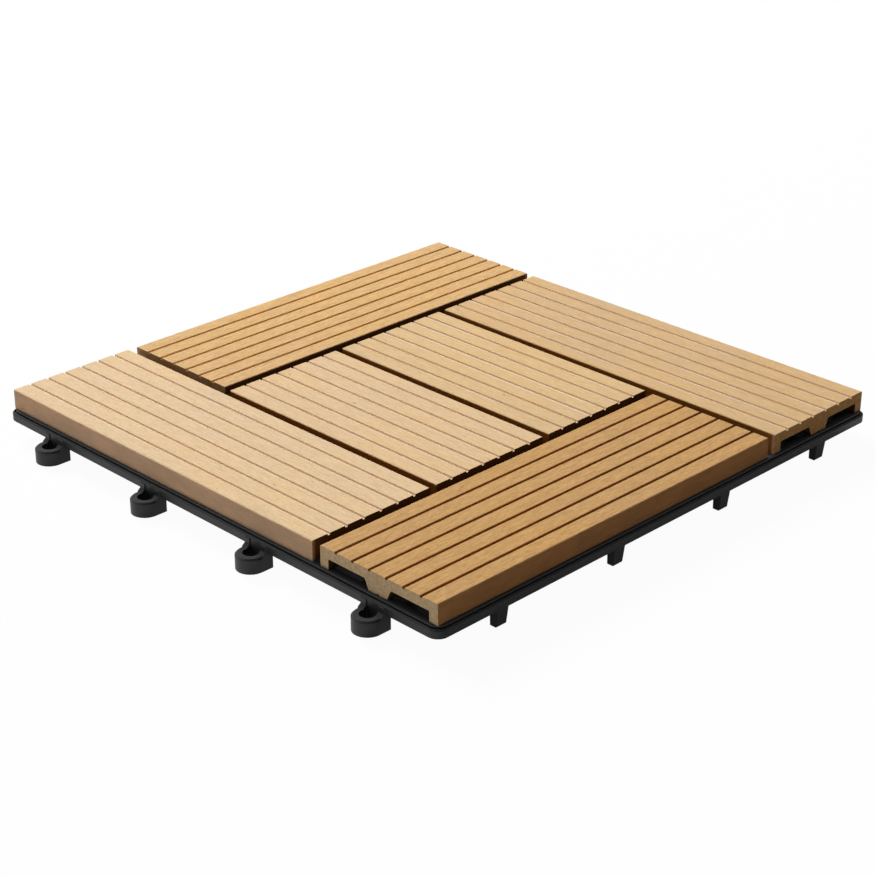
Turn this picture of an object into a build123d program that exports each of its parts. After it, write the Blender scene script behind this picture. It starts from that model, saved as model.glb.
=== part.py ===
# Interlocking deck tile: six grooved composite boards screwed from below to a moulded base grid.
# Frame: millimetres, +Z up, the origin on the ground under the middle of the tile.
# The front is -Y. Loops stand out of the front and left sides, pegs hang under the right and back sides.
from build123d import *
import os

os.makedirs("parts", exist_ok=True)

# Boards, one extruded section cut to two lengths
board_width = 70.7
board_thickness = 10.2
board_gap = 4.0        # between boards that lie side by side
end_gap = 5.0          # between a board's sawn end and the side of the board that crosses it
board_edge_round = 0.8
groove_count = 6
groove_pitch = 10.25
groove_mouth = 1.7
groove_floor = 1.1
groove_depth = 0.9
leg_width = 5.1        # outer legs of the section
deck_thickness = 5.1   # solid layer above the hollows
keel_top = 15.7        # middle leg, where it leaves the solid layer
keel_foot = 11.1
hollow_keel_round = 1.4
notch_width = 1.6      # groove under the keel that centres the screws
notch_depth = 0.7

# Base grid, outer form
rim_reach = 2.6        # from the boards' square to the outer face of the rim
seat_height = 14.8     # underside of the boards above the ground
flange_bottom = 9.5
flange_top = 13.7
flange_corner = 5.5
flange_bevel = 0.7
skirt_wall = 2.3
ledge_reach = 1.2      # from the boards' square to the edge of the ledge that they lie on
ledge_corner = 5.0
ledge_thickness = 2.6
ledge_width = 4.2
gutter_width = 0.6     # between the ledge and the flange
gutter_depth = 0.8

# Base grid, ribs and feet
ribs_per_board = 3
rib_thickness = 1.8
rib_bottom = 5.0       # inside the outermost feet; nearer the rim the ribs are as deep as the flange
foot_width = 7.0

# Links to the next tile
link_pitch = 74.5
link_count = 4
link_clearance = 0.8   # under the loops and pegs
loop_outer_radius = 7.1
loop_centre = 3.0      # outside the rim
loop_top = 8.2
loop_edge_bevel = 0.8
loop_root = 3.6        # how far the loop's root runs in under the rim
slot_radius = 3.7
gusset_reach = 2.0     # on the loop's top, each side of the slot
stand_off = 0.4        # on the rim's face, keeps the next tile's rim clear
stand_off_top = 12.2
peg_foot_width = 6.2
peg_foot_setback = 1.0
peg_root_width = 6.8
peg_depth = 4.4
peg_chamfer = 0.4
link_overlap = 0.4     # how far loop and peg roots run up into the ledge
stop_clearance = 1.2   # behind the next tile's loops, to the wall inside the rim

# Screws, driven up through bosses in the grid
screw_radius = 1.75
screw_length = 16.0
screw_head_radius = 3.4
screw_head_height = 2.2
screw_hole_clearance = 0.25
shank_sides = 12       # flats round each shank and its holes, few because none of them shows
boss_width = 8.0       # square boss

# Sizes worked out from those above
board_pitch = board_width + board_gap
field = 4 * board_width + 3 * board_gap
tile = field + 2 * rim_reach
long_length = field - board_width - end_gap
short_length = field - 2 * (board_width + end_gap)
outer_line = (field - board_width) / 2
inner_line = board_pitch / 2
long_shift = (field - long_length) / 2
rib_pitch = board_pitch / ribs_per_board
board_top = seat_height + board_thickness
ledge_bottom = seat_height - ledge_thickness
ledge_span = field + 2 * ledge_reach
ledge_inner = ledge_span - 2 * ledge_width
screw_tip = rib_bottom + screw_length
loop_reach = loop_centre + loop_outer_radius - stand_off
stop_square = tile - 2 * (loop_reach + stop_clearance)
print("tile", tile, "long board", long_length, "short board", short_length, "top", board_top)

# Stations of the two screws along a board, counted in ribs from the middle of the tile
long_stations = [-5, 2]
short_stations = [-2, 2]


# Boards
def board(name, along, centre, line, length, stations):
    """One board along X or Y: centre is its middle along its length, line its place across the tile."""
    start = centre - length / 2
    if along == "X":
        sawn_end = Plane(origin=(start, line, seat_height), x_dir=(0, 1, 0), z_dir=(1, 0, 0))
        screws = [(station * rib_pitch, line) for station in stations]
    else:
        sawn_end = Plane(origin=(line, start, seat_height), x_dir=(-1, 0, 0), z_dir=(0, 1, 0))
        screws = [(line, station * rib_pitch) for station in stations]
    half = board_width / 2
    with BuildPart() as plank:
        with BuildSketch(sawn_end) as section:
            # Outline with open hollows on both sides of the keel
            for side in (-1, 1):
                with BuildLine():
                    Polyline(
                        (0, 0),
                        (side * keel_foot / 2, 0),
                        (side * keel_top / 2, board_thickness - deck_thickness),
                        (side * (half - leg_width), board_thickness - deck_thickness),
                        (side * (half - leg_width), 0),
                        (side * half, 0),
                        (side * half, board_thickness),
                        (0, board_thickness),
                        close=True,
                    )
                make_face()
            face_corners = section.vertices().group_by(Axis.Y)[-1].sort_by(Axis.X)
            fillet([face_corners[0], face_corners[-1]], board_edge_round)
            keel_corners = section.vertices().group_by(Axis.Y)[1].sort_by(lambda v: abs(v.X))[:2]
            fillet(keel_corners, hollow_keel_round)
            # Grooves in the face, and the small groove under the keel
            with Locations(Location((0, board_thickness))):
                with GridLocations(groove_pitch, 1, groove_count, 1):
                    Polygon(
                        (-groove_mouth / 2, 0),
                        (-groove_floor / 2, -groove_depth),
                        (groove_floor / 2, -groove_depth),
                        (groove_mouth / 2, 0),
                        align=None,
                        mode=Mode.SUBTRACT,
                    )
            Polygon(
                (-notch_width / 2, 0),
                (0, notch_depth),
                (notch_width / 2, 0),
                align=None,
                mode=Mode.SUBTRACT,
            )
        extrude(amount=length)
        # The screws cut their own holes in the keel
        with BuildSketch(Plane.XY.offset(seat_height)):
            with Locations(*screws):
                RegularPolygon(screw_radius, shank_sides)
        extrude(amount=screw_tip - seat_height, mode=Mode.SUBTRACT)
    plank.part.label = name
    export_step(plank.part, f"parts/{name}.step")
    return screws


turned_stations = [-station for station in long_stations]
screw_places = []
screw_places += board("front_board", "X", -long_shift, -outer_line, long_length, long_stations)
screw_places += board("right_board", "Y", -long_shift, outer_line, long_length, long_stations)
screw_places += board("back_board", "X", long_shift, outer_line, long_length, turned_stations)
screw_places += board("left_board", "Y", long_shift, -outer_line, long_length, turned_stations)
screw_places += board("middle_board_front", "X", 0, -inner_line, short_length, short_stations)
screw_places += board("middle_board_back", "X", 0, inner_line, short_length, short_stations)

# Link loop, made once with the rim's outer face on y = 0 and the outside towards -y
with BuildPart() as link_loop:
    with BuildSketch(Plane.XY.offset(link_clearance)):
        with BuildLine():
            Line((-loop_outer_radius, -loop_centre), (-loop_outer_radius, loop_root))
            Line((-loop_outer_radius, loop_root), (loop_outer_radius, loop_root))
            Line((loop_outer_radius, loop_root), (loop_outer_radius, -loop_centre))
            ThreePointArc(
                (loop_outer_radius, -loop_centre),
                (0, -loop_centre - loop_outer_radius),
                (-loop_outer_radius, -loop_centre),
            )
        make_face()
    extrude(amount=loop_top - link_clearance)
    outer_chain = link_loop.edges().group_by(Axis.Z)[-1].sort_by(Axis.Y)[:3]
    chamfer(outer_chain, loop_edge_bevel)
    # Root wall, flush with the rim's face, up into the ledge
    with BuildSketch(Plane.XY.offset(link_clearance)):
        with Locations((0, loop_root / 2)):
            Rectangle(2 * loop_outer_radius, loop_root)
    extrude(amount=ledge_bottom + link_overlap - link_clearance)
    # Gussets from the loop's top up to the rim's face, one each side of the slot
    for inner_face in (-loop_outer_radius, slot_radius):
        with BuildSketch(Plane.YZ.offset(inner_face)):
            Polygon(
                (0, loop_top - loop_edge_bevel),
                (-gusset_reach, loop_top - loop_edge_bevel),
                (-gusset_reach, loop_top),
                (-stand_off, flange_bottom),
                (-stand_off, stand_off_top),
                (0, stand_off_top + stand_off),
                align=None,
            )
        extrude(amount=loop_outer_radius - slot_radius)
    # Slot for the next tile's peg, through the ring from top to bottom
    with BuildSketch(Plane.XY.offset(link_clearance)):
        with BuildLine():
            Line((-slot_radius, 0), (-slot_radius, -loop_centre))
            ThreePointArc(
                (-slot_radius, -loop_centre),
                (0, -loop_centre - slot_radius),
                (slot_radius, -loop_centre),
            )
            Line((slot_radius, -loop_centre), (slot_radius, 0))
            Line((slot_radius, 0), (-slot_radius, 0))
        make_face()
    extrude(amount=loop_top - link_clearance, mode=Mode.SUBTRACT)

# Link peg, in the same place: tapered, flush with the rim at its root
with BuildPart() as link_peg:
    with BuildSketch(Plane.XY.offset(link_clearance)):
        with Locations((0, (peg_foot_setback + peg_depth) / 2)):
            Rectangle(peg_foot_width, peg_depth - peg_foot_setback)
    with BuildSketch(Plane.XY.offset(flange_bottom)):
        with Locations((0, peg_depth / 2)):
            Rectangle(peg_root_width, peg_depth)
    loft()
    chamfer(link_peg.edges().group_by(Axis.Z)[0], peg_chamfer)
    with BuildSketch(Plane.XY.offset(flange_bottom)):
        with Locations((0, peg_depth / 2)):
            Rectangle(peg_root_width, peg_depth)
    extrude(amount=ledge_bottom + link_overlap - flange_bottom)

# Base grid
link_offsets = [(index - (link_count - 1) / 2) * link_pitch for index in range(link_count)]
front_links = [Location((offset, -tile / 2, 0)) for offset in link_offsets]
left_links = [Location((-tile / 2, offset, 0), (0, 0, -90)) for offset in link_offsets]
right_links = [Location((tile / 2, offset, 0), (0, 0, 90)) for offset in link_offsets]
back_links = [Location((offset, tile / 2, 0), (0, 0, 180)) for offset in link_offsets]
rib_count = 4 * ribs_per_board - 1
foot_pitch = 2 * rib_pitch
feet_per_side = 2 * ribs_per_board
rib_square = (rib_count - 1) * rib_pitch + rib_thickness

with BuildPart() as base_grid:
    # Flange: a skirt round the whole tile, bevelled along its top
    with BuildSketch(Plane.XY.offset(flange_bottom)):
        RectangleRounded(tile, tile, flange_corner)
        Rectangle(tile - 2 * skirt_wall, tile - 2 * skirt_wall, mode=Mode.SUBTRACT)
    extrude(amount=flange_top - flange_bottom)
    chamfer(base_grid.faces().sort_by(Axis.Z)[-1].outer_wire().edges(), flange_bevel)
    # Ledge that carries the boards' outer edges
    with BuildSketch(Plane.XY.offset(ledge_bottom)):
        RectangleRounded(ledge_span, ledge_span, ledge_corner)
        Rectangle(ledge_inner, ledge_inner, mode=Mode.SUBTRACT)
    extrude(amount=ledge_thickness)
    # Gutter between ledge and flange
    with BuildSketch(Plane.XY.offset(flange_top)):
        RectangleRounded(ledge_span + 2 * gutter_width, ledge_span + 2 * gutter_width, ledge_corner)
        RectangleRounded(ledge_span, ledge_span, ledge_corner, mode=Mode.SUBTRACT)
    extrude(amount=-gutter_depth, mode=Mode.SUBTRACT)
    # Lattice of ribs under the boards
    with BuildSketch(Plane.XY.offset(flange_bottom)):
        with GridLocations(rib_pitch, 1, rib_count, 1):
            Rectangle(rib_thickness, tile - skirt_wall)
        with GridLocations(1, rib_pitch, 1, rib_count):
            Rectangle(tile - skirt_wall, rib_thickness)
    extrude(amount=ledge_bottom - flange_bottom)
    with BuildSketch(Plane.XY.offset(ledge_bottom)):
        with GridLocations(rib_pitch, 1, rib_count, 1):
            Rectangle(rib_thickness, ledge_inner + ledge_width)
        with GridLocations(1, rib_pitch, 1, rib_count):
            Rectangle(ledge_inner + ledge_width, rib_thickness)
    extrude(amount=ledge_thickness)
    # The same ribs, deeper, inside the outermost feet
    with BuildSketch(Plane.XY.offset(rib_bottom)):
        with GridLocations(rib_pitch, 1, rib_count, 1):
            Rectangle(rib_thickness, rib_square)
        with GridLocations(1, rib_pitch, 1, rib_count):
            Rectangle(rib_square, rib_thickness)
    extrude(amount=flange_bottom - rib_bottom)
    # Inner wall, as deep as those ribs, that the next tile's loops stop short of
    with BuildSketch(Plane.XY.offset(rib_bottom)):
        Rectangle(stop_square, stop_square)
        Rectangle(stop_square - 2 * rib_thickness, stop_square - 2 * rib_thickness, mode=Mode.SUBTRACT)
    extrude(amount=seat_height - rib_bottom)
    # Feet: square blocks under every second crossing of ribs, and one under the middle
    with BuildSketch():
        with GridLocations(foot_pitch, foot_pitch, feet_per_side, feet_per_side):
            Rectangle(foot_width, foot_width)
        Rectangle(foot_width, foot_width)
    extrude(amount=rib_bottom)
    # Screw bosses
    with BuildSketch(Plane.XY.offset(rib_bottom)):
        with Locations(*screw_places):
            Rectangle(boss_width, boss_width)
    extrude(amount=seat_height - rib_bottom)
    # Loops and pegs
    with Locations(*front_links, *left_links):
        add(link_loop.part)
    with Locations(*right_links, *back_links):
        add(link_peg.part)
    # Screw holes
    with BuildSketch(Plane.XY.offset(rib_bottom)):
        with Locations(*screw_places):
            RegularPolygon(screw_radius + screw_hole_clearance, shank_sides)
    extrude(amount=seat_height - rib_bottom, mode=Mode.SUBTRACT)
base_grid.part.label = "base_grid"
export_step(base_grid.part, "parts/base_grid.step")

# Screws
with BuildPart() as screw:
    # Pan head, flat against the boss
    with BuildSketch(Plane.XY.offset(rib_bottom - screw_head_height)):
        Circle(screw_head_radius)
    extrude(amount=screw_head_height)
    # Shank
    with BuildSketch(Plane.XY.offset(rib_bottom)):
        RegularPolygon(screw_radius, shank_sides)
    extrude(amount=screw_length)

with BuildPart() as board_screws:
    with Locations(*screw_places):
        add(screw.part)
board_screws.part.label = "board_screws"
export_step(board_screws.part, "parts/board_screws.step")
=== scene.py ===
# %% [markdown]
# # A deck tile, dressed for its picture
#
# The tile is six boards of wood and plastic composite, screwed from below to a moulded black grid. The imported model
# is the fixed frame: it says where every piece is, and nothing here moves it. What this script adds is the look. The
# boards are pushed out of one section and their grooves milled by Geometry Nodes, the screws get their threads, and
# every surface gets a material that is worked out from its own place, with no picture files.

# %% Load the frame
import math

import bmesh
import bpy
from mathutils import Matrix, Vector


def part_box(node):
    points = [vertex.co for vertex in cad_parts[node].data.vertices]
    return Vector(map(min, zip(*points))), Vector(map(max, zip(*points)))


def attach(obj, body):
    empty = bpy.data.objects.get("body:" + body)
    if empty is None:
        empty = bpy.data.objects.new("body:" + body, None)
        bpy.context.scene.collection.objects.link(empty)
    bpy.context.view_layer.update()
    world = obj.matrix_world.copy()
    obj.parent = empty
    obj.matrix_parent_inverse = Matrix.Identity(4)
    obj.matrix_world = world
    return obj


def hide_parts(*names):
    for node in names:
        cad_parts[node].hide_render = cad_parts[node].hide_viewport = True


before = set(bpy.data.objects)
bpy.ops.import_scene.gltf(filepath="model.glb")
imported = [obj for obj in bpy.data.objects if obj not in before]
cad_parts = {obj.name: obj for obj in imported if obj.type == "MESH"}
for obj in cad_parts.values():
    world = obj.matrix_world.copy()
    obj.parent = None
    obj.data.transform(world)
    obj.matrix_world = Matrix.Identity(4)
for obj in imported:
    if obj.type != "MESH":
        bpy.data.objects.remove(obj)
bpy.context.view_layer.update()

mm = 0.001
print("nodes in the frame:", sorted(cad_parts))

# %% [markdown]
# ## Sums on sockets
#
# A procedural material is mostly arithmetic: how far into a groove is this point, how much of this noise counts.
# Wiring Math nodes by hand hides that, so a small class wraps a socket and lets plain Python operators add the
# nodes. One method adds any other node. The same class serves shader trees and Geometry Nodes trees.

# %% A socket that takes part in sums
class Wire:
    """One output of a node. Sums on it add Math nodes to the same tree."""

    def __init__(self, socket):
        self.socket = socket

    def node(self, kind, settings=None, inputs=None, output=0):
        """Adds a node, sets its settings, then gives its inputs values or wires."""
        tree = self.socket.id_data
        new = tree.nodes.new(kind)
        for name, value in (settings or {}).items():
            setattr(new, name, value)
        for key, value in (inputs or {}).items():
            if isinstance(value, Wire):
                tree.links.new(value.socket, new.inputs[key])
            else:
                new.inputs[key].default_value = value
        return Wire(new.outputs[output])

    def beside(self, output):
        """Another output of the node that this one comes from."""
        return Wire(self.socket.node.outputs[output])

    def math(self, operation, *others):
        return self.node("ShaderNodeMath", {"operation": operation}, dict(enumerate((self, *others))))

    def __add__(self, other):
        return self.math("ADD", other)

    __radd__ = __add__

    def __sub__(self, other):
        return self.math("SUBTRACT", other)

    def __rsub__(self, other):
        return (self * -1.0).math("ADD", other)

    def __mul__(self, other):
        return self.math("MULTIPLY", other)

    __rmul__ = __mul__

    def __truediv__(self, other):
        return self.math("DIVIDE", other)

    def __abs__(self):
        return self.math("ABSOLUTE")

    def ramp(self, low, high):
        """0 below low and 1 above high, with a soft turn at both ends. High may be the smaller one."""
        settings = {"interpolation_type": "SMOOTHSTEP"}
        if low < high:
            return self.node("ShaderNodeMapRange", settings, {"Value": self, "From Min": low, "From Max": high})
        return 1.0 - self.ramp(high, low)

    def tint(self, low, high):
        """Low where this is 0, high where it is 1; either may be a colour or a wire."""
        return self.node("ShaderNodeMix", {"data_type": "RGBA"}, {0: self, 6: low, 7: high}, 2)


def vector(x, y, z):
    """Three numbers or wires as one vector; one of them at least is a wire."""
    wire = next(part for part in (x, y, z) if isinstance(part, Wire))
    return wire.node("ShaderNodeCombineXYZ", {}, {0: x, 1: y, 2: z})


def split(place):
    """The x, y and z of a vector, as three wires."""
    x = place.node("ShaderNodeSeparateXYZ", {}, {0: place})
    return x, x.beside(1), x.beside(2)


print("a socket now takes +, -, *, /, abs() and a soft ramp")

# %% [markdown]
# ## Colours, noise and an empty material
#
# Colours are picked on the screen, but a shader works in linear light, so each is converted once. Every
# pattern starts from the place of a point on its piece in millimetres, so a scale can be read as waves in a
# millimetre. All materials here start from the same few helpers.

# %% Helpers for materials
def scaled(wire, factor):
    """A colour or a place, multiplied by a number or a wire."""
    return wire.node("ShaderNodeVectorMath", {"operation": "SCALE"}, {0: wire, "Scale": factor})


def multiplied(first, second):
    """Two colours multiplied; the first is a wire."""
    settings = {"data_type": "RGBA", "blend_type": "MULTIPLY"}
    return first.node("ShaderNodeMix", settings, {0: 1.0, 6: first, 7: second}, 2)


def shaded(shade, tint):
    """A fixed colour, made darker or lighter by a wire."""
    return shade.node("ShaderNodeVectorMath", {"operation": "SCALE"}, {0: tint[:3], "Scale": shade})


def noise(place, scale, detail, roughness):
    """Noise about 0.5 at a place, with the scale in waves per unit of that place."""
    inputs = {"Vector": place, "Scale": scale, "Detail": detail, "Roughness": roughness, "Distortion": 0.0}
    return place.node("ShaderNodeTexNoise", {}, inputs)


def facing_of(place):
    """The x, y and z of the surface's normal, for the material that a place belongs to."""
    return split(place.node("ShaderNodeTexCoord").beside("Normal"))


def square_reach(x, y):
    """How far a point is from the tile's middle, measured as half the side of the square it lies on."""
    return abs(x).math("MAXIMUM", abs(y))


def colour(red, green, blue):
    """A colour picked in screen values of 0 to 255, as the linear values that a shader wants."""
    screen = (red / 255, green / 255, blue / 255)
    return tuple(v / 12.92 if v <= 0.04045 else ((v + 0.055) / 1.055) ** 2.4 for v in screen) + (1.0,)


def new_material(name):
    """An empty material with its shader, and the place of a point on the piece, in millimetres."""
    made = bpy.data.materials.new(name)
    made.use_nodes = True
    shader = made.node_tree.nodes["Principled BSDF"]
    coordinates = Wire(made.node_tree.nodes.new("ShaderNodeTexCoord").outputs["Object"])
    return made, shader, scaled(coordinates, 1.0 / mm)


def plug(shader, name, wire):
    shader.id_data.links.new(wire.socket, shader.inputs[name])


white = (1.0, 1.0, 1.0, 1.0)
print("a screen value of 128 is", round(colour(128, 128, 128)[0], 3), "in linear light")

# %% [markdown]
# ## What the frame says
#
# The boards' sizes come out of the frame's own boxes, so a change in the construction reaches the looks. Only the
# profile of the section is repeated here: the grooves, the legs and the hollows between them.

# %% Sizes of the boards
long_boards = {"front_board": "X", "right_board": "Y", "back_board": "X", "left_board": "Y"}
short_boards = {"middle_board_front": "X", "middle_board_back": "X"}
boards = {**long_boards, **short_boards}
low_corner, high_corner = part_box("front_board")
board_width = high_corner.y - low_corner.y
board_thickness = high_corner.z - low_corner.z
seat = low_corner.z
board_top = high_corner.z
field_edge = -low_corner.y    # from the tile's middle to the outer side of the boards

edge_round = 0.8 * mm
groove_count = 6
groove_pitch = 10.25 * mm
groove_mouth = 1.7 * mm
groove_floor = 1.1 * mm
groove_depth = 0.9 * mm
leg_width = 5.1 * mm
deck_thickness = 5.1 * mm
keel_top = 15.7 * mm
keel_foot = 11.1 * mm
keel_round = 1.4 * mm
leg_round = 0.6 * mm
notch_width = 1.6 * mm
notch_depth = 0.7 * mm
print(f"a board is {board_width / mm:.1f} by {board_thickness / mm:.1f} mm, its seat at {seat / mm:.1f} mm")

# %% [markdown]
# ## The section of a board
#
# The board is extruded, so one outline says almost everything about it: a flat deck, two legs at its edges and a
# tapered keel down the middle that takes the screws. The outline is worked out as corners with a radius each, and
# every round corner becomes a short arc. The grooves are left out here, because they are milled later.

# %% Outline with rounded corners
def round_corner(before, corner, after, radius, steps=6):
    """The points of an arc that turns from one straight edge into the next."""
    if radius == 0:
        return [corner]
    into = (before - corner).normalized()
    out = (after - corner).normalized()
    half_angle = into.angle(out) / 2
    centre = corner + (into + out).normalized() * (radius / math.sin(half_angle))
    spoke = corner + into * (radius / math.tan(half_angle)) - centre
    turn = math.pi - 2 * half_angle
    if into.cross(out) > 0:
        turn = -turn
    points = []
    for step in range(steps + 1):
        c, s = math.cos(turn * step / steps), math.sin(turn * step / steps)
        points.append(centre + Vector((spoke.x * c - spoke.y * s, spoke.x * s + spoke.y * c)))
    return points


def board_outline():
    """The section seen along the board: x across it, y up from its seat."""
    half = board_width / 2
    hollow = board_thickness - deck_thickness
    right = [
        (notch_width / 2, 0, 0),
        (keel_foot / 2, 0, 0),
        (keel_top / 2, hollow, keel_round),
        (half - leg_width, hollow, leg_round),
        (half - leg_width, 0, 0),
        (half, 0, 0),
        (half, board_thickness, edge_round),
    ]
    left = [(-x, y, radius) for x, y, radius in reversed(right)]
    corners = [(Vector((x, y)), radius) for x, y, radius in [(0, notch_depth, 0), *right, *left]]
    outline = []
    for index, (corner, radius) in enumerate(corners):
        before = corners[index - 1][0]
        after = corners[(index + 1) % len(corners)][0]
        outline += round_corner(before, corner, after, radius)
    return outline


outline = board_outline()
print(len(outline), "points in the section")

# %% [markdown]
# ## Boards from Geometry Nodes
#
# A board follows a rule: push the section along its length, mill a row of equal grooves into the face, and drill the
# screws' holes into the keel. That is a job for Geometry Nodes. The face of the section is extruded, a trapezoid
# cutter is set out along a line of points, and one Boolean takes all the cutters away at once. Length, turn and place
# are inputs of the tree, so six boards come from one recipe.

# %% Starting and ending a tree
def new_tree(name, numbers):
    """A Geometry Nodes tree with named number inputs; returns it and its inputs as wires."""
    tree = bpy.data.node_groups.new(name, "GeometryNodeTree")
    tree.interface.new_socket("Geometry", in_out="INPUT", socket_type="NodeSocketGeometry")
    for label in numbers:
        tree.interface.new_socket(label, in_out="INPUT", socket_type="NodeSocketFloat")
    tree.interface.new_socket("Material", in_out="INPUT", socket_type="NodeSocketMaterial")
    tree.interface.new_socket("Geometry", in_out="OUTPUT", socket_type="NodeSocketGeometry")
    group = tree.nodes.new("NodeGroupInput")
    return tree, {socket.name: Wire(socket) for socket in group.outputs if socket.name}


def end_tree(tree, geometry, material):
    """The last nodes of every tree here: real copies, one material, smooth shading, and the way out."""
    real = geometry.node("GeometryNodeRealizeInstances", {}, {0: geometry})
    painted = real.node("GeometryNodeSetMaterial", {}, {"Geometry": real, "Material": material})
    smooth = painted.node("GeometryNodeSetShadeSmooth", {}, {0: painted})
    way_out = tree.nodes.new("NodeGroupOutput")
    tree.links.new(smooth.socket, way_out.inputs[0])


def joined(*parts):
    """Several geometries as one."""
    join = parts[0].node("GeometryNodeJoinGeometry")
    for part in parts:
        join.socket.id_data.links.new(part.socket, join.socket.node.inputs[0])
    return join


def row_of_points(count, pitch, x, y, z, along):
    """Points in a row about a middle place, along X or Y."""
    step = vector(pitch, 0.0, 0.0) if along == "X" else vector(0.0, pitch, 0.0)
    back = (count - 1.0) * pitch * -0.5
    start = vector(back + x, y, z) if along == "X" else vector(x, back + y, z)
    return pitch.node("GeometryNodeMeshLine", {}, {"Count": count, "Start Location": start, "Offset": step})


# %% The cutters
cutter_spare = 4 * mm    # how much longer than the board a cutter is
drill_sides = 24


def groove_cutters(wire):
    """A row of boxes as high as twice the groove, their lower corners drawn in to the groove's floor."""
    length, rise = wire["Length"], wire["Groove Depth"]
    mouth, floor = wire["Groove Mouth"], wire["Groove Floor"]
    wide = mouth * 2.0 - floor
    box = length.node("GeometryNodeMeshCube", {}, {"Size": vector(length + cutter_spare, wide, rise * 2.0)})
    x, across, up = split(box.node("GeometryNodeInputPosition"))
    lower = up.node("FunctionNodeCompare", {"operation": "LESS_THAN"}, {0: up, 1: 0.0})
    drawn_in = {"Geometry": box, "Selection": lower, "Position": vector(x, across * (floor / wide), up)}
    cutter = box.node("GeometryNodeSetPosition", {}, drawn_in)
    count = wire["Groove Count"].node("FunctionNodeFloatToInt", {}, {0: wire["Groove Count"]})
    row = row_of_points(count, wire["Groove Pitch"], length * 0.5, 0.0, wire["Thickness"], "Y")
    return row.node("GeometryNodeInstanceOnPoints", {}, {"Points": row, "Instance": cutter})


def screw_drills(wire):
    """Two drills up into the keel, where the screws go."""
    size = {"Vertices": drill_sides, "Radius": wire["Hole Radius"], "Depth": wire["Hole Depth"] * 2.0}
    drill = wire["Length"].node("GeometryNodeMeshCylinder", {"fill_type": "NGON"}, size)
    two = drill.node("FunctionNodeInputInt", {"integer": 2})
    pair = row_of_points(two, wire["Hole Spacing"], wire["Hole Middle"], 0.0, 0.0, "X")
    return pair.node("GeometryNodeInstanceOnPoints", {}, {"Points": pair, "Instance": drill})


print("cutters are", cutter_spare / mm, "mm longer than their board")


# %% The tree that makes a board
def board_tree():
    tree, wire = new_tree(
        "board",
        ["Length", "Thickness", "Groove Count", "Groove Pitch", "Groove Mouth", "Groove Floor", "Groove Depth",
         "Hole Radius", "Hole Depth", "Hole Middle", "Hole Spacing", "Turn", "Middle X", "Middle Y", "Seat"],
    )
    section, length = wire["Geometry"], wire["Length"]
    # The section's face stands at one sawn end; its flipped copy closes the start of the extrusion
    along = {"Mesh": section, "Offset": (1.0, 0.0, 0.0), "Offset Scale": length, "Individual": False}
    pushed = section.node("GeometryNodeExtrudeMesh", {"mode": "FACES"}, along)
    flipped = section.node("GeometryNodeFlipFaces", {}, {"Mesh": section})
    closed = joined(pushed, flipped)
    blank = closed.node("GeometryNodeMergeByDistance", {}, {"Geometry": closed, "Distance": 0.01 * mm})
    cutters = joined(groove_cutters(wire), screw_drills(wire))
    real_cutters = cutters.node("GeometryNodeRealizeInstances", {}, {0: cutters})
    settings = {"operation": "DIFFERENCE", "solver": "EXACT"}
    milled = blank.node("GeometryNodeMeshBoolean", settings, {"Mesh 1": blank, "Mesh 2": real_cutters})
    # Turned along X or Y about its own middle, then set on its seat
    to_middle = {"Geometry": milled, "Translation": vector(length * -0.5, 0.0, 0.0)}
    centred = milled.node("GeometryNodeTransform", {}, to_middle)
    to_seat = {
        "Geometry": centred, "Rotation": vector(0.0, 0.0, wire["Turn"]),
        "Translation": vector(wire["Middle X"], wire["Middle Y"], wire["Seat"]),
    }
    placed = centred.node("GeometryNodeTransform", {}, to_seat)
    end_tree(tree, placed, wire["Material"])
    return tree


plank_tree = board_tree()
print("board tree:", len(plank_tree.nodes), "nodes")

# %% [markdown]
# ## Running a tree
#
# A modifier's inputs are set by each socket's identifier, and only then is the object evaluated. The result is copied
# to a plain mesh, because the export knows nothing of Geometry Nodes, and the object that carried the modifier goes.
# A narrow bevel comes after the nodes: saw and plane leave an edge about a quarter of a millimetre wide, and that
# edge is what catches the light along every board. The normals are weighted by area after it, so that the wide faces
# stay flat in the light and only the narrow edges turn it.

# %% From a tree to a plain mesh
bevel_from = math.radians(40)    # edges sharper than this get the bevel
sharp_from = math.radians(32)    # and without a bevel, edges sharper than this stay sharp


def run_tree(tree, start, name, values, edge=0.0):
    """Runs a tree on a starting mesh with the named values and returns a new object with the finished mesh."""
    source = bpy.data.objects.new(name + "_source", start)
    bpy.context.scene.collection.objects.link(source)
    nodes = source.modifiers.new("nodes", "NODES")
    nodes.node_group = tree
    for item in tree.interface.items_tree:
        if item.in_out == "INPUT" and item.name in values:
            nodes[item.identifier] = values[item.name]
    if edge:
        bevel = source.modifiers.new("edges", "BEVEL")
        bevel.width = edge
        bevel.segments = 2
        bevel.limit_method = "ANGLE"
        bevel.angle_limit = bevel_from
        bevel.use_clamp_overlap = True
        source.modifiers.new("normals", "WEIGHTED_NORMAL").weight = 100
    seen = source.evaluated_get(bpy.context.evaluated_depsgraph_get())
    mesh = bpy.data.meshes.new_from_object(seen)
    mesh.name = name
    bpy.data.objects.remove(source)
    if not edge:
        mesh.set_sharp_from_angle(angle=sharp_from)
    piece = bpy.data.objects.new(name, mesh)
    bpy.context.scene.collection.objects.link(piece)
    return piece


def flat_face(name, points):
    """A mesh of one face through 2-D points, standing across the board at its start."""
    mesh = bpy.data.meshes.new(name)
    mesh.from_pydata([(0.0, point.x, point.y) for point in points], [], [list(range(len(points)))])
    return mesh


section_face = flat_face("board section", outline)
print("section area", round(section_face.polygons[0].area / mm**2, 1), "square mm")
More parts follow.
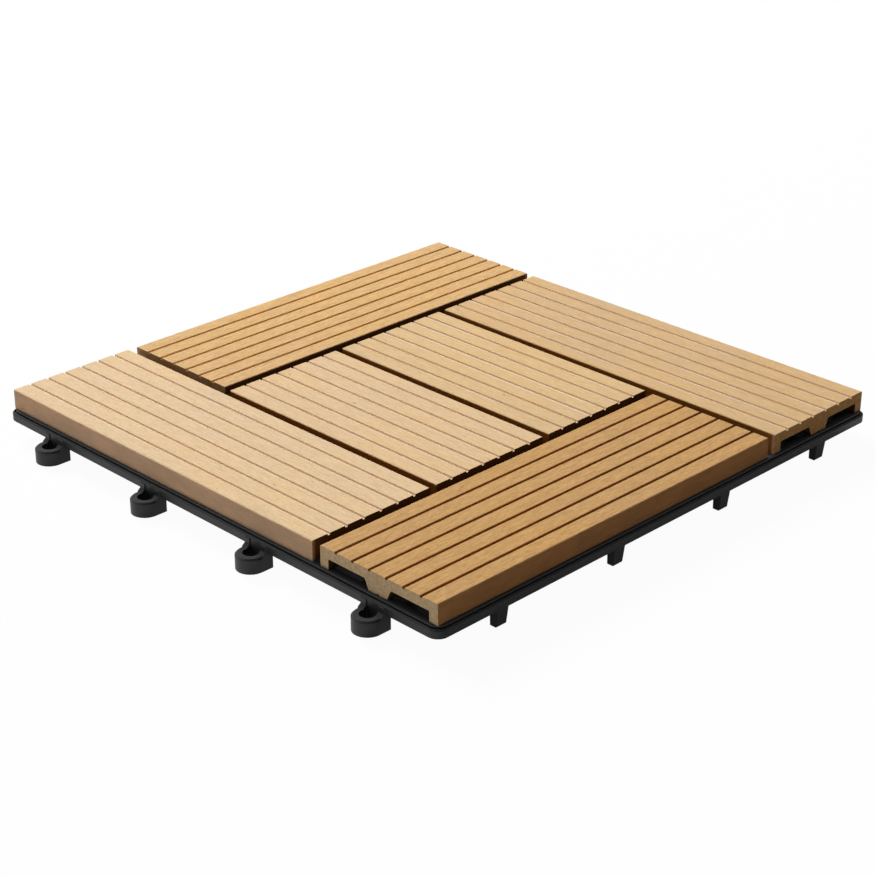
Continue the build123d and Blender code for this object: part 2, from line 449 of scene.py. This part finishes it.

# %% [markdown]
# ## The composite
#
# The boards are wood flour pressed in polymer and brushed, so they look like wood without its rings: a close, even
# tan with fine streaks along the board, warmer and cooler patches, and a few dark flecks. Brushing lies along each
# board, and boards laid the other way send the light back differently. That sheen is painted into the colours: the
# boards along Y are painted golden and those along X pale, and the golden ones have browner grooves. A painted
# highlight lies along one lip of some grooves. The sides in the gaps and the hollows underneath are painted brown
# and dark as painted shade. The sawn ends are greyer and coarser, with painted shade on those of the pale boards and
# painted light on those of the golden ones. Masks from the place of each point and from its normal tell all these
# apart.

# %% Which part of a board a point is on
# Where each mask starts and where it is full: first as a share of the normal, then in millimetres
end_facing = 0.75, 0.95
flank_facing = 0.3, 0.8
below_groove_mouth = 0.15, 0.6
below_deck = 2.0, 3.0
in_from_side = 1.5, 2.5
in_from_field_edge = 2.0, 1.0
lip_near, lip_far = (0.75, 0.95), (1.25, 1.6)


class Parts:
    """Masks over one board. Each is 1 on its own part and 0 elsewhere; along is the way the board runs."""

    def __init__(self, place, along, middle):
        x, y, z = split(place)
        facing = facing_of(place)
        up = abs(facing[2])
        self.z = z
        self.run, self.across = (x, y) if along == "X" else (y, x)
        from_middle = self.across - middle / mm
        self.ends = abs(facing[0 if along == "X" else 1]).ramp(*end_facing)
        half, edge = board_width / mm / 2, field_edge / mm
        inside = abs(from_middle).ramp(half - in_from_side[0], half - in_from_side[1])
        self.flank = (1.0 - up.ramp(*flank_facing)) * (1.0 - self.ends) * (1.0 - inside)
        self.outermost = square_reach(x, y).ramp(edge - in_from_field_edge[0], edge - in_from_field_edge[1])
        within = inside * (1.0 - self.ends)
        below_face = z * -1.0 + board_top / mm
        self.groove = below_face.ramp(*below_groove_mouth) * within
        self.hollow = below_face.ramp(*below_deck) * within
        # A lip is the strip beside a groove's mouth, on one side of it only, where a painted highlight goes
        pitches = (from_middle * (mm / groove_pitch)).math("FRACT") - 0.5
        from_groove = pitches * (-groove_pitch / mm)
        self.lip = from_groove.ramp(*lip_near) * (1.0 - from_groove.ramp(*lip_far)) * within


print("masks measure from the face of the boards at", round(board_top / mm, 1), "mm")

# %% Noises of the composite
fibre_length = 6.0    # millimetres
fibre_width = 0.6
board_noises = {
    # How much of the length counts, waves in a millimetre across, detail, roughness
    "streak": (fibre_width / fibre_length, 1.0 / fibre_width, 3.0, 0.65),
    "flour": (0.5, 1.1, 3.0, 0.7),
    "brush": (0.02, 2.2, 2.0, 0.5),
    "fleck": (0.45, 0.55, 2.0, 0.5),
    "broad": (0.3, 0.11, 3.0, 0.55),
    "patch": (0.5, 0.022, 2.0, 0.5),
    "glint": (0.4, 0.04, 2.0, 0.5),
    "mottle": (0.35, 0.16, 4.0, 0.6),
}


def board_noise(part, kind):
    """One of those noises. Counting only a share of the length draws it out along the board."""
    share, scale, detail, roughness = board_noises[kind]
    return noise(vector(part.run * share, part.across, part.z), scale, detail, roughness)


print("streaks are", fibre_length, "by", fibre_width, "mm")

# %% Colours of the composite
saw_pitch = 1.1       # millimetres between the marks of the saw
# Painted shade for the sides and ends in the gaps between boards
gap_flank_painted_shade = colour(168, 112, 48)
gap_end_painted_shade = colour(104, 70, 36)
# Painted shade for the hollows under the boards
hollow_painted_shade = colour(84, 58, 32)
fleck_colour = colour(126, 92, 52)
painted_glint_colour = colour(250, 240, 224)
red_patch = colour(176, 118, 84)
side_grain = 0.4      # how much of the face's contrast the sides have
patch_tints = (0.97, 0.975, 1.01, 1.0), (1.03, 0.99, 0.90, 1.0)
grain_tints = (1.0, 0.95, 0.85, 1.0), (1.0, 1.02, 1.08, 1.0)
mottle_tints = (0.93, 0.94, 0.96, 1.0), (1.07, 1.05, 1.03, 1.0)


def side_colour(part, along, grain, finish):
    """Outer sides, mottled by the hot rollers that sized them, redder in patches along X; in the gaps, painted shade.
    """
    mottle = board_noise(part, "mottle")
    outer = shaded((grain - 0.5) * (finish["contrast"] * side_grain) + 1.0, finish["side"])
    if along == "X":
        outer = (mottle.ramp(0.62, 0.74) * 0.5).tint(outer, red_patch)
    outer = multiplied(mottle.ramp(0.35, 0.65).tint(*mottle_tints), outer)
    # The sides that face another board are in the gaps, where they are painted brown and dark as painted shade
    return part.outermost.tint(gap_flank_painted_shade if along == "X" else gap_end_painted_shade, outer)


def end_colour(part, along, crumb, marks, sawn):
    """Sawn ends: a little crumbly, with the saw's marks. In the gaps of boards along X they get painted shade too."""
    rough_end = (crumb.ramp(0.3, 0.7) * 0.6 + marks * 0.05 + 0.2).tint(*sawn)
    return part.outermost.tint(gap_end_painted_shade, rough_end) if along == "X" else rough_end


print("the saw's marks are", saw_pitch, "mm apart")


# %% The material of a board
def composite(name, along, middle, finish):
    made, shader, place = new_material(name)
    part = Parts(place, along, middle)
    streak, flour, brush = (board_noise(part, kind) for kind in ("streak", "flour", "brush"))
    fleck, broad, patch = (board_noise(part, kind) for kind in ("fleck", "broad", "patch"))
    # The face's own colour, made darker or lighter and a little warmer or cooler
    grain = streak.ramp(0.25, 0.75) * 0.5 + flour.ramp(0.25, 0.75) * 0.3 + brush.ramp(0.3, 0.7) * 0.2
    warmth = (broad.ramp(0.3, 0.7) * 0.5 + patch.ramp(0.35, 0.65) * 0.5).tint(*patch_tints)
    toned = multiplied(multiplied(warmth, grain.tint(*grain_tints)), finish["face"])
    bare = scaled(toned, (grain - 0.5) * finish["contrast"] + 1.0)
    flecked = (fleck.ramp(0.70, 0.80) * 0.55).tint(bare, fleck_colour)
    # Then each part of the board over it
    sided = part.flank.tint(flecked, side_colour(part, along, grain, finish))
    # A painted highlight along one lip of some grooves, here and there almost white
    glint = board_noise(part, "glint").ramp(0.42, 0.60)
    with_painted_glint = (part.lip * glint * finish["lip"]).tint(sided, painted_glint_colour)
    groove_colour, groove_share = finish["groove"]
    grooved = (part.groove * groove_share).tint(with_painted_glint, groove_colour)
    # The hollows underneath are painted dark as painted shade
    milled = part.hollow.tint(grooved, hollow_painted_shade)
    crumb = noise(place, 0.55, 4.0, 0.6)
    marks = ((part.z * 0.9 + part.across * 0.25) * (2 * math.pi / saw_pitch)).math("SINE")
    sawn_end = end_colour(part, along, crumb, marks, finish["sawn"])
    plug(shader, "Base Color", part.ends.tint(milled, sawn_end))
    plug(shader, "Roughness", streak * 0.12 + 0.72 + part.ends * 0.1)
    height = streak * 0.5 + flour * 0.25 + brush * 0.35 + part.ends * (crumb * 0.8 + marks * 0.1)
    bump = height.node("ShaderNodeBump", {}, {"Strength": 0.4, "Distance": 0.14 * mm, "Height": height})
    plug(shader, "Normal", bump)
    shader.inputs["Specular IOR Level"].default_value = 0.05
    return made


# %% The finish of each board, with painted sheen and shade
# Face colours: painted sheen, golden along Y and pale along X, a little darker to the back and right as painted shade
faces = {
    "front_board": colour(232, 204, 166), "middle_board_front": colour(230, 200, 160),
    "middle_board_back": colour(226, 195, 150), "back_board": colour(221, 188, 144),
    "left_board": colour(222, 184, 131), "right_board": colour(206, 164, 110),
}
pale = {
    # The sawn colours here are darker, as painted shade on the ends of the boards along X
    "contrast": 0.36, "side": colour(212, 173, 138), "sawn": (colour(146, 106, 62), colour(182, 138, 86)),
    "groove": (colour(236, 208, 179), 0.85),
}
golden = {
    # The sawn colours here are lighter, as painted light, and the side is darker, partly as painted shade
    "contrast": 0.66, "side": colour(158, 110, 67), "sawn": (colour(190, 161, 123), colour(232, 201, 158)),
    "groove": (colour(150, 90, 26), 0.95),
}
# How strong the painted highlight on the grooves' lips is on each board
painted_glint_strength = {"front_board": 0.2, "middle_board_front": 0.4, "middle_board_back": 0.8, "back_board": 0.7}
finishes = {
    name: {**(pale if along == "X" else golden), "face": faces[name], "lip": painted_glint_strength.get(name, 0.0)}
    for name, along in boards.items()
}
# The left board's grooves are painted lighter than the right board's, as painted light
finishes["left_board"]["groove"] = (colour(216, 170, 114), 0.9)
print(len(finishes), "finishes, two of them golden")

# %% [markdown]
# ## Making the boards
#
# Each board takes its length and its place from its node's box, and its look from its finish. Two screws hold it. On
# a long board the pair sits a little off the middle, so that both screws stand on ribs of the grid.

# %% Make the six boards
board_edge = 0.22 * mm
long_spacing, short_spacing = 174.3 * mm, 99.6 * mm
long_shift = 37.35 * mm
shifted_back = ("front_board", "right_board")
screw_radius = 1.75 * mm
screw_tip = 21.0 * mm

screw_places = []
for name, along in boards.items():
    low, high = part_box(name)
    middle = (low + high) / 2
    length, own_middle, across_middle = (
        (high.x - low.x, middle.x, middle.y) if along == "X" else (high.y - low.y, middle.y, middle.x)
    )
    spacing, shift = (long_spacing, long_shift) if name in long_boards else (short_spacing, 0.0)
    if name in shifted_back:
        shift = -shift
    values = {
        "Length": length, "Thickness": board_thickness, "Groove Count": float(groove_count),
        "Groove Pitch": groove_pitch, "Groove Mouth": groove_mouth, "Groove Floor": groove_floor,
        "Groove Depth": groove_depth, "Hole Radius": screw_radius, "Hole Depth": screw_tip - seat,
        "Hole Middle": length / 2 + shift - own_middle, "Hole Spacing": spacing,
        "Turn": 0.0 if along == "X" else math.pi / 2, "Middle X": middle.x, "Middle Y": middle.y, "Seat": seat,
        "Material": composite(name.replace("_", " "), along, across_middle, finishes[name]),
    }
    piece = run_tree(plank_tree, section_face, name + "_finished", values, board_edge)
    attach(piece, "root")
    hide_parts(name)
    for at in (shift - spacing / 2, shift + spacing / 2):
        screw_places.append((at, middle.y) if along == "X" else (middle.x, at))
    print(f"{name}: {length / mm:.1f} mm, {len(piece.data.polygons)} faces")

# %% [markdown]
# ## The moulded grid
#
# The grid is the frame's own node: its shape is right, so it keeps its mesh and only gets a material. It is
# polypropylene, black all through, with the even fine grain that an eroded mould leaves, and a few scuffs where
# tiles have rubbed in their box. Sharp edges of a moulding are never quite sharp, so the normal is rounded a little
# at each edge, which gives the thin grey highlights along the rim and the loops.

# %% Black polypropylene
# Painted shade: inside this reach the grid under the boards is painted near black
painted_shade_under_boards = 145.5, 147.0    # millimetres from the tile's middle
looking_up = 0.3, 0.8


def moulded_plastic():
    made, shader, place = new_material("black polypropylene")
    grain = noise(place, 2.4, 3.0, 0.6)
    cloud = noise(place, 0.09, 3.0, 0.55)
    scuff = noise(place, 0.5, 4.0, 0.65)
    rubbed = scuff.ramp(0.60, 0.75) * 0.3
    black = (cloud.ramp(0.3, 0.7) * 0.6 + rubbed).tint(colour(11, 13, 13), colour(28, 31, 31))
    # Under the boards the plastic is painted near black as painted shade, and made rougher
    x, y = split(place)[:2]
    inside = 1.0 - square_reach(x, y).ramp(*painted_shade_under_boards)
    plug(shader, "Base Color", inside.tint(black, colour(8, 8, 8)))
    # Faces that look up have the matt texture of the mould's floor, the upright ones are smoother
    matt = facing_of(place)[2].ramp(*looking_up) * (1.0 - inside)
    plug(shader, "Roughness", grain * 0.14 + cloud * 0.1 + 0.34 + rubbed * 0.3 + inside * 0.4 + matt * 0.42)
    soft = place.node("ShaderNodeBevel", {"samples": 6}, {"Radius": 0.45 * mm})
    relief = {"Strength": 0.18, "Distance": 0.1 * mm, "Height": grain, "Normal": soft}
    plug(shader, "Normal", grain.node("ShaderNodeBump", {}, relief))
    shader.inputs["Specular IOR Level"].default_value = 0.46
    return made


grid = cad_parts["base_grid"]
plastic = moulded_plastic()
grid.data.materials.clear()
grid.data.materials.append(plastic)
print("the grid keeps its", len(grid.data.polygons), "faces")

# %% [markdown]
# ## Webs in the corners of the grid
#
# In the photo no light comes through the hollows at the ends of the boards, so the real grid is closed at its
# corners. In the construction the channel behind the rim runs round them. Eight short webs carry its inner wall on
# to the rim. They are the only whole forms here that the construction lacks.

# %% Eight short webs
wall_outside = 139.1 * mm
wall_thickness = 1.8 * mm
ledge_inside = 144.4 * mm
rim_inside = 147.7 * mm
rim_bottom = 9.5 * mm
ledge_bottom = 12.2 * mm


def corner_webs():
    """Each web is one stepped profile, as deep as the rim, made as thick as the wall and turned into place."""
    profile = [
        (wall_outside, rim_bottom), (rim_inside, rim_bottom), (rim_inside, ledge_bottom),
        (ledge_inside, ledge_bottom), (ledge_inside, seat), (wall_outside, seat),
    ]
    points, faces = [], []
    count = len(profile)
    for quarter in range(4):
        turn = Matrix.Rotation(quarter * math.pi / 2, 3, "Z")
        for side in (-1, 1):
            first = len(points)
            for across in (wall_outside - wall_thickness, wall_outside):
                points += [turn @ Vector((run, side * across, height)) for run, height in profile]
            faces += [list(range(first, first + count)), list(range(first + count, first + 2 * count))]
            for index in range(count):
                after = (index + 1) % count
                faces.append([first + index, first + after, first + count + after, first + count + index])
    mesh = bpy.data.meshes.new("corner webs")
    mesh.from_pydata(points, [], faces)
    build = bmesh.new()
    build.from_mesh(mesh)
    bmesh.ops.recalc_face_normals(build, faces=build.faces)
    build.to_mesh(mesh)
    build.free()
    mesh.materials.append(plastic)
    return mesh


webs = bpy.data.objects.new("corner_webs", corner_webs())
bpy.context.scene.collection.objects.link(webs)
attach(webs, "root")
print("webs:", len(webs.data.polygons), "faces")

# %% [markdown]
# ## Screws with real threads
#
# Twelve identical screws hold the boards. A thread is a rule: the radius of a point depends on how far its angle and
# its height are from the ridge that winds round the shank. One screw is made that way as rings of points, and
# Geometry Nodes sets the copies out. In the construction the screws are plain, because threads don't change how the
# tile works.

# %% The thread
head_seat = 5.0 * mm
head_height = 2.2 * mm
head_radius = 3.4 * mm
head_round = 0.8 * mm
thread_pitch = 1.6 * mm
ridge_slope = 1.6
core_radius = 1.3 * mm
point_length = 2.5 * mm
plain_length = 0.6 * mm
recess_radius = 1.9 * mm
recess_waist = 0.75 * mm
recess_floor = 0.55 * mm
recess_depth = 1.3 * mm


def thread_radius(height, angle):
    """How far the thread's surface is from the axis, at a height above the head and an angle round it."""
    turns = height / thread_pitch - angle / (2 * math.pi)
    ridge = 1.0 - abs((turns % 1.0) * 2.0 - 1.0) * ridge_slope
    start = min(1.0, max(0.0, (height - plain_length) / thread_pitch))
    taper = min(1.0, max(0.02, (screw_tip - head_seat - height) / point_length))
    return taper * (core_radius + (screw_radius - core_radius) * max(0.0, ridge) * start)


print("a screw's thread winds", round((screw_tip - head_seat) / thread_pitch, 1), "times")


# %% One screw
def screw_rings(sides, steps):
    """Rings of radius and height from the middle of the head, over its edge and up the thread to the point."""
    face = head_seat - head_height
    cross = [recess_radius if index % (sides // 4) == 0 else recess_waist for index in range(sides)]
    rings = [[(recess_floor, face + recess_depth)] * sides]
    rings.append([(radius * 0.8, face + recess_depth * 0.8) for radius in cross])
    rings.append([(radius, face) for radius in cross])
    for step in range(5):
        turn = math.radians(22.5 * step)
        radius = head_radius - head_round * (1 - math.sin(turn))
        rings.append([(radius, face + head_round * (1 - math.cos(turn)))] * sides)
    rings += [[(head_radius, head_seat)] * sides, [(core_radius, head_seat)] * sides]
    for step in range(1, steps + 1):
        height = (screw_tip - head_seat) * step / steps
        angles = [2 * math.pi * index / sides for index in range(sides)]
        rings.append([(thread_radius(height, angle), head_seat + height) for angle in angles])
    return rings


def screw_mesh(sides=20, steps=90):
    """A pan-head screw, as a skin over its rings."""
    rings = screw_rings(sides, steps)
    points = []
    for ring in rings:
        for index, (radius, height) in enumerate(ring):
            angle = 2 * math.pi * index / sides
            points.append((radius * math.cos(angle), radius * math.sin(angle), height))
    faces = [list(range(sides))]
    for ring in range(len(rings) - 1):
        for index in range(sides):
            after = (index + 1) % sides
            near, far = ring * sides, (ring + 1) * sides
            faces.append([near + after, near + index, far + index, far + after])
    faces.append(list(range((len(rings) - 1) * sides, len(rings) * sides))[::-1])
    mesh = bpy.data.meshes.new("screw")
    mesh.from_pydata(points, [], [face[::-1] for face in faces])
    return mesh


one_screw = screw_mesh()
print("one screw has", len(one_screw.polygons), "faces")


# %% Zinc, and the set of screws
def zinc():
    made, shader, place = new_material("bright zinc")
    cloud = noise(place, 0.8, 3.0, 0.6)
    plug(shader, "Base Color", cloud.ramp(0.3, 0.7).tint(colour(172, 174, 176), colour(206, 206, 204)))
    plug(shader, "Roughness", cloud * 0.2 + 0.22)
    shader.inputs["Metallic"].default_value = 1.0
    return made


def screw_tree(screw):
    """A copy of one screw on every point of the starting mesh."""
    tree, wire = new_tree("screws", [])
    points = wire["Geometry"]
    info = points.node("GeometryNodeObjectInfo", {}, {"Object": screw}, "Geometry")
    copies = points.node("GeometryNodeInstanceOnPoints", {}, {"Points": points, "Instance": info})
    end_tree(tree, copies, wire["Material"])
    return tree


pattern = bpy.data.objects.new("screw_pattern", one_screw)
spots = bpy.data.meshes.new("screw places")
spots.from_pydata([(x, y, 0.0) for x, y in screw_places], [], [])
screws = run_tree(screw_tree(pattern), spots, "board_screws_threaded", {"Material": zinc()})
bpy.data.objects.remove(pattern)
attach(screws, "root")
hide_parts("board_screws")
print(len(screw_places), "screws,", len(screws.data.polygons), "faces")

# %% [markdown]
# ## The floor
#
# The picture is a product shot on white. The floor is white paper. Part of its white is its own glow, so it reads as
# white while the tile's soft shadow stays on it. The black plastic mirrors it as grey. Under the tile nothing glows,
# the mirrored glow is weaker on the shaded right, and from below the paper is clear.

# %% White paper
floor_radius = 6.0
paper_white = (0.86, 0.86, 0.86, 1.0)
seen_glow = 0.96
mirrored_glow, shaded_loss = 0.55, 0.40
shade_starts, shade_ends = 100.0, 150.0    # millimetres to the right of the middle
dark_reach, dark_soft = 130.0, 6.0         # how far the dark under the tile reaches, and how softly it ends
back_pegs = 24.0                           # the dark reaches so much further back


def white_floor():
    made, shader, place = new_material("white paper")
    shader.inputs["Base Color"].default_value = paper_white
    shader.inputs["Roughness"].default_value = 0.9
    shader.inputs["Specular IOR Level"].default_value = 0.1
    x, y = split(place)[:2]
    reach = abs(x).math("MAXIMUM", y * -1.0).math("MAXIMUM", y - back_pegs)
    outside = reach.ramp(dark_reach, dark_reach + dark_soft)
    rays = place.node("ShaderNodeLightPath")
    seen = rays.beside("Is Camera Ray") * seen_glow
    mirrored = rays.beside("Is Glossy Ray") * (mirrored_glow - x.ramp(shade_starts, shade_ends) * shaded_loss)
    share = seen.math("MAXIMUM", mirrored) * outside
    glow = place.node("ShaderNodeEmission", {}, {"Color": white, "Strength": 1.0})
    paper = place.node("ShaderNodeMixShader", {}, {0: share, 1: Wire(shader.outputs[0]), 2: glow})
    below = place.node("ShaderNodeNewGeometry").beside("Backfacing")
    clear = place.node("ShaderNodeBsdfTransparent")
    sheet = place.node("ShaderNodeMixShader", {}, {0: below, 1: paper, 2: clear})
    made.node_tree.links.new(sheet.socket, made.node_tree.nodes["Material Output"].inputs["Surface"])
    return made


floor_corners = [(x * floor_radius, y * floor_radius, 0) for x, y in [(-1, -1), (1, -1), (1, 1), (-1, 1)]]
floor_mesh = bpy.data.meshes.new("floor")
floor_mesh.from_pydata(floor_corners, [], [(0, 1, 2, 3)])
floor_mesh.materials.append(white_floor())
floor = bpy.data.objects.new("floor", floor_mesh)
bpy.context.scene.collection.objects.link(floor)
print("the paper is", 2 * floor_radius, "m wide")

# %% [markdown]
# ## Light
#
# One broad softbox, high on the left, lights the faces that look left and leaves those that look right in shade. It
# stands near enough that the boards grow a little darker towards the right. The white room gives a little light of
# its own, and glossy surfaces see it as white, less so on the right.

# %% World and lamp
ambient = 0.10
right_starts, right_ends, right_loss = 0.0, 0.6, 0.8


def white_room():
    """A world that is white to the camera and in mirrors, and faint as a light."""
    world = bpy.data.worlds.new("studio")
    world.use_nodes = True
    background = world.node_tree.nodes["Background"]
    rays = Wire(background.outputs[0]).node("ShaderNodeLightPath")
    to_right = split(rays.node("ShaderNodeTexCoord"))[0]
    mirrored = rays.beside("Is Glossy Ray") * (1.0 - to_right.ramp(right_starts, right_ends) * right_loss)
    seen = rays.beside("Is Camera Ray").math("MAXIMUM", mirrored)
    seen = seen.math("MAXIMUM", rays.beside("Is Transmission Ray"))
    plug(background, "Strength", seen * (1.0 - ambient) + ambient)
    background.inputs["Color"].default_value = white
    return world


def softbox(name, place, aim, side, power):
    """A square softbox at a place in metres, turned towards an aim."""
    data = bpy.data.lights.new(name, "AREA")
    data.shape = "RECTANGLE"
    data.size = side
    data.size_y = side
    data.energy = power
    made = bpy.data.objects.new(name, data)
    made.location = place
    made.rotation_euler = (Vector(aim) - Vector(place)).to_track_quat("-Z", "Y").to_euler()
    bpy.context.scene.collection.objects.link(made)
    return made


bpy.context.scene.world = white_room()
key = softbox("key", (-3.0, 0.375, 2.63), (0.0, 0.0, board_top), side=1.65, power=217.0)
print("key lamp:", key.data.energy, "W")

# %% [markdown]
# ## Camera
#
# The camera's azimuth, elevation, roll, distance and focal length were fitted to the corners of the boards in the
# photo, so the tile stands in the render where it stands in the picture.

# %% Place the camera
azimuth, elevation, roll = math.radians(44.957), math.radians(25.682), math.radians(0.132)
distance = 985.5 * mm
aim = Vector((37.63 * mm, -37.97 * mm, board_top))
sensor = 36.0          # millimetres
focal_pixels = 2104.0
image_pixels = 875.0

ahead = math.cos(elevation)
back = Vector((math.sin(azimuth) * ahead, -math.cos(azimuth) * ahead, math.sin(elevation)))
right = (-back).cross(Vector((0, 0, 1))).normalized()
up = right.cross(-back)
turned_right = right * math.cos(roll) + up * math.sin(roll)
turned_up = up * math.cos(roll) - right * math.sin(roll)
camera_data = bpy.data.cameras.new("camera")
camera_data.sensor_width = sensor
camera_data.lens = sensor * focal_pixels / image_pixels
camera = bpy.data.objects.new("camera", camera_data)
turn = Matrix((turned_right, turned_up, back)).transposed().to_4x4()
camera.matrix_world = Matrix.Translation(aim + back * distance) @ turn
bpy.context.scene.collection.objects.link(camera)
bpy.context.scene.camera = camera
bpy.context.scene.view_settings.view_transform = "Standard"
print("camera at", [round(v, 3) for v in camera.matrix_world.translation])
